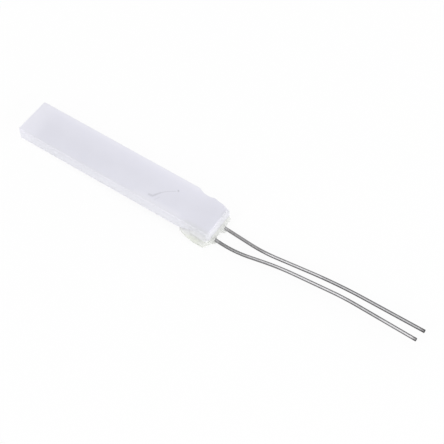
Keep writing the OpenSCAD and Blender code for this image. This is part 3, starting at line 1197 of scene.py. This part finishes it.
def seen(tree):
    """1 for a ray that ends in the picture, straight or by a mirror or glass, and 0 for others."""
    rays = node(tree, "LightPath").outputs
    bounced = math(tree, "ADD", rays["Is Glossy Ray"], rays["Is Transmission Ray"])
    return math(tree, "ADD", rays["Is Camera Ray"], bounced, clamp=True)


sheet = bpy.data.materials.new("floor_paint")
sheet.use_nodes = True
tree = sheet.node_tree
paint = tree.nodes["Principled BSDF"]
paint.inputs["Base Color"].default_value = (0.95, 0.95, 0.95, 1)
paint.inputs["Roughness"].default_value = 1.0
paint.inputs["Specular IOR Level"].default_value = 0.0
white = node(tree, "Emission", {"Strength": 1.0}).outputs[0]
white_share = math(tree, "MULTIPLY", seen(tree), WHITE_SHARE)
lit = node(tree, "MixShader", {0: white_share, 1: paint.outputs[0], 2: white}).outputs[0]
to_camera = node(tree, "LightPath").outputs["Is Camera Ray"]
below = math(tree, "MULTIPLY", node(tree, "NewGeometry").outputs["Backfacing"], to_camera)
clear = node(tree, "BsdfTransparent").outputs[0]
shown = node(tree, "MixShader", {0: below, 1: lit, 2: clear}).outputs[0]
tree.links.new(shown, tree.nodes["Material Output"].inputs["Surface"])
floor.data.materials.append(sheet)
print("floor is", WHITE_SHARE, "white to the camera")

# %% [markdown]
# ## Light
# A photographer puts small shiny parts in a light tent. An arc of three strip lamps stands across
# the wires: a polished cylinder mirrors it as one bright line with darker flanks. Two low fills
# lift the front side and the end, so that they are as bright as the top, and one lifts the back.

# %% Hang the lamps
LAMPS_AIM = Vector((9, 0, -0.6))
# Blender gives an area lamp of 4 W per square metre a radiance of 1
WATTS_PER_RADIANCE = 4
ARC_LEAN = -0.16
ARC_LIFTS = (35, 62, 90)


def soft_box(name, direction, tall_axis, width, height, distance, radiance):
    """A rectangular lamp that faces the object. Radiance 1 is a white surface in full light."""
    forward = direction.normalized()
    tall = (tall_axis - forward * forward.dot(tall_axis)).normalized()
    turn = Matrix((tall.cross(forward), tall, forward)).transposed()
    place = (LAMPS_AIM + forward * distance) * MM
    begin()
    bpy.ops.object.light_add(type="AREA", location=place, rotation=turn.to_euler())
    lamp = named(name)
    lamp.data.shape = "RECTANGLE"
    lamp.data.size = width * MM
    lamp.data.size_y = height * MM
    lamp.data.energy = WATTS_PER_RADIANCE * radiance * width * height * MM * MM
    print(name, "gives", round(lamp.data.energy, 4), "W")


for i, lift in enumerate(ARC_LIFTS):
    rise = radians(lift)
    out = (1 - ARC_LEAN * ARC_LEAN) ** 0.5
    way = Vector((ARC_LEAN, -cos(rise) * out, sin(rise) * out))
    round_wires = Vector((0, sin(rise), cos(rise)))
    soft_box(f"arc_{i}", way, round_wires, width=52, height=150, distance=300, radiance=3.0)
for name, way, width, height, radiance in (
    ("end_fill", (1, -0.1, 0.25), 90, 60, 2.2),
    ("front_fill", (0.1, -1, 0.2), 90, 40, 0.25),
    ("rear_fill", (-0.6, 1, 0.35), 90, 60, 0.5),
):
    soft_box(name, Vector(way), UP, width, height, distance=110, radiance=radiance)

# %% [markdown]
# The tent's own soft light comes from the world: bright walls and a dimmer top. The camera sees the
# world plain white, and the Standard view shows a white of 1 as white.

# %% Fill the world with soft light
TENT_WALLS = 1.17
TENT_TOP = 0.365

world = bpy.data.worlds.new("tent")
bpy.context.scene.world = world
world.use_nodes = True
tree = world.node_tree
tent = tree.nodes["Background"]
tent.inputs["Color"].default_value = (1, 1, 1, 1)
height = axis(tree, node(tree, "TexCoord").outputs["Generated"], 2)
soft = spread(tree, height, 0.0, 1.0, TENT_WALLS, TENT_TOP)
tree.links.new(spread(tree, seen(tree), 0.0, 1.0, soft, 1.0), tent.inputs["Strength"])
bpy.context.scene.view_settings.view_transform = "Standard"
print("tent walls", TENT_WALLS, "and top", TENT_TOP)

# %% [markdown]
# ## Print the sizes and finish
# The finished pieces are meant to stay inside the imported model's box, so both boxes are printed.

# %% Write the sizes and finish
boxes = {"cad": [list(c) for c in cad_box], "visual": [list(c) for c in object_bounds()]}
for name, (low, high) in boxes.items():
    print(name, "box in mm:", [round(c / MM, 4) for c in low], [round(c / MM, 4) for c in high])
